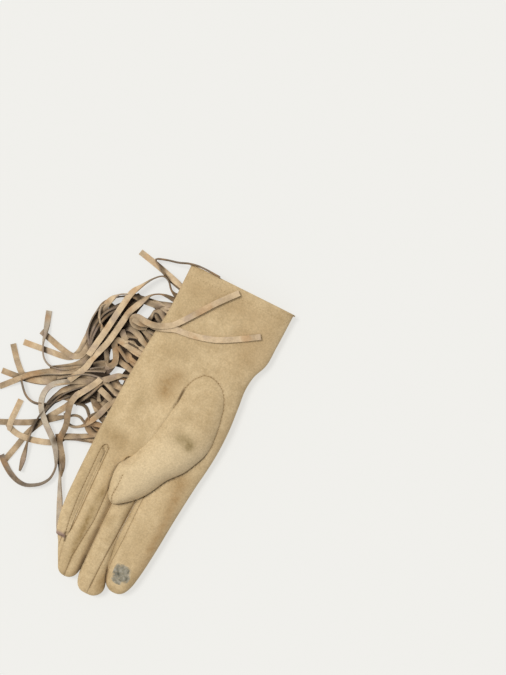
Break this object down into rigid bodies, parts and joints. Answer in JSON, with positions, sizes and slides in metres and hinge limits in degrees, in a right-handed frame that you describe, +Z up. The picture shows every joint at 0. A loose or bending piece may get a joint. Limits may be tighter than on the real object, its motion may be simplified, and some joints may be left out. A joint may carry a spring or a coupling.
{
  "type": "fringed glove",
  "caption": "Left glove of soft suede lying palm up, thumb folded over the palm, with long cut fringe strips along the little finger side.",
  "frame": {"origin": "on the flat underside of the back panel, halfway between the cuff edge and the middle fingertip", "axes": "+X toward the thumb side, +Y toward the cuff along the hand, +Z up out of the palm"},
  "size_m": [0.1756, 0.2491, 0.0253],
  "materials": {
    "suede": "camel suede with a fine soft nap",
    "conductive_patch": "grey conductive print, dull",
    "fringe_suede": "camel suede cut in strips, raw edges"
  },
  "bodies": {
    "root": {"palm_panel": "suede", "back_panel": "suede", "fourchette_little": "suede", "fourchette_ring": "suede", "fourchette_middle": "suede", "thumb": "suede", "cuff_hem": "suede", "touch_pad": "conductive_patch", "fringe": "fringe_suede"}
  },
  "joints": []
}
